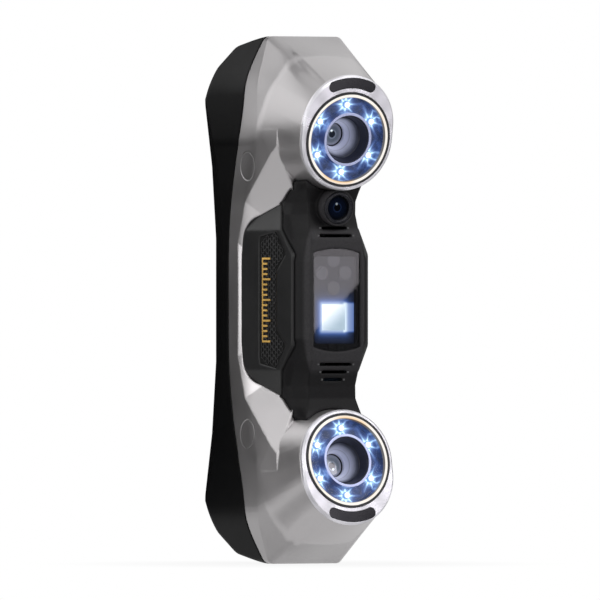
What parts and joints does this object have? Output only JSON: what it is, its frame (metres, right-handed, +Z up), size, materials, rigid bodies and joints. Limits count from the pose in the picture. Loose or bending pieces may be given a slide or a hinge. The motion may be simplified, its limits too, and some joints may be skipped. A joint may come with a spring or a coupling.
{
  "type": "handheld three-d scanner",
  "caption": "Handheld three-d scanner: a waisted bar with a camera in a lamp ring at each end, a projector between them, and keys on its back.",
  "frame": {"origin": "centre of the bounding box, on the plane of symmetry midway between the two lens axes", "axes": "+Z up the body's length, -Y the front with the lenses, +Y the back with the keys, +X the width"},
  "size_m": [0.0426, 0.08, 0.204],
  "materials": {
    "silver_shell": "satin silver paint over a moulded shell",
    "silver_bezel": "light satin silver paint",
    "black_shell": "fine-grained satin black plastic",
    "dark_cover": "satin charcoal plastic",
    "mesh_black": "black plastic with a hexagonal relief",
    "tinted_glass": "tinted filter glass",
    "dark_gloss": "glossy black",
    "accent_gold": "warm gold ring",
    "seal_black": "black seal",
    "lamp_black": "matte black",
    "clear_cover": "clear cover",
    "lamp_white": "lit white lamp",
    "grey_metal": "satin grey",
    "baffle_grey": "ribbed dark baffle",
    "lens_coated": "coated lens glass",
    "frame_metal": "machined aluminium",
    "board_green": "solder mask green",
    "chip_black": "moulded chips",
    "screw_steel": "zinc plated steel",
    "insert_brass": "machined brass",
    "pad_rubber": "soft textured rubber",
    "key_rubber": "soft touch keys",
    "socket_steel": "steel socket shell",
    "light_clear": "clear light pipe",
    "emitter_plate": "dark plate",
    "emitter_lens": "small round lenses",
    "pale_blue_light": "pale blue lit square"
  },
  "bodies": {
    "scanner": {"back_cover": "black_shell", "back_cover_screws": "screw_steel", "board_chips": "chip_black", "center_cover": "dark_cover", "color_barrel": "lamp_black", "color_bezel": "dark_gloss", "color_board": "board_green", "color_lens": "lens_coated", "data_socket": "socket_steel", "emitter_plate": "emitter_plate", "emitters": "emitter_lens", "frame_screws": "screw_steel", "front_housing": "silver_shell", "grip_pad": "pad_rubber", "heat_sink": "frame_metal", "key_board": "board_green", "key_switches": "chip_black", "left_mesh_inlay": "mesh_black", "left_side_panel": "dark_cover", "light_square": "pale_blue_light", "lower_accent_ring": "accent_gold", "lower_baffle": "baffle_grey", "lower_bezel": "silver_bezel", "lower_camera_board": "board_green", "lower_crescent_window": "dark_gloss", "lower_lamp_board": "chip_black", "lower_lamp_cover": "clear_cover", "lower_lamp_tray": "lamp_black", "lower_lamps": "lamp_white", "lower_lens_barrel": "lamp_black", "lower_lens_collar": "grey_metal", "lower_lens_glass": "lens_coated", "lower_seal_ring": "seal_black", "main_board": "board_green", "optical_frame": "frame_metal", "projector_body": "lamp_black", "projector_window": "tinted_glass", "right_mesh_inlay": "mesh_black", "right_side_panel": "dark_cover", "side_plugs": "silver_shell", "socket_board": "board_green", "status_light_pipe": "light_clear", "tripod_insert": "insert_brass", "upper_accent_ring": "accent_gold", "upper_baffle": "baffle_grey", "upper_bezel": "silver_bezel", "upper_camera_board": "board_green", "upper_crescent_window": "dark_gloss", "upper_lamp_board": "chip_black", "upper_lamp_cover": "clear_cover", "upper_lamp_tray": "lamp_black", "upper_lamps": "lamp_white", "upper_lens_barrel": "lamp_black", "upper_lens_collar": "grey_metal", "upper_lens_glass": "lens_coated", "upper_seal_ring": "seal_black"},
    "scan_key_cap": {"scan_key": "key_rubber"},
    "plus_key_cap": {"plus_key": "key_rubber"},
    "minus_key_cap": {"minus_key": "key_rubber"}
  },
  "joints": [
    {"name": "scan_key_travel", "type": "slide", "parent": "scanner", "child": "scan_key_cap", "axis": [0, -1, 0], "range_m": [0, 0.0005], "stiffness_N_per_m": 2000, "springref_m": -0.0005},
    {"name": "plus_key_travel", "type": "slide", "parent": "scanner", "child": "plus_key_cap", "axis": [0, -1, 0], "range_m": [0, 0.0005], "stiffness_N_per_m": 2000, "springref_m": -0.0005},
    {"name": "minus_key_travel", "type": "slide", "parent": "scanner", "child": "minus_key_cap", "axis": [0, -1, 0], "range_m": [0, 0.0005], "stiffness_N_per_m": 2000, "springref_m": -0.0005}
  ]
}
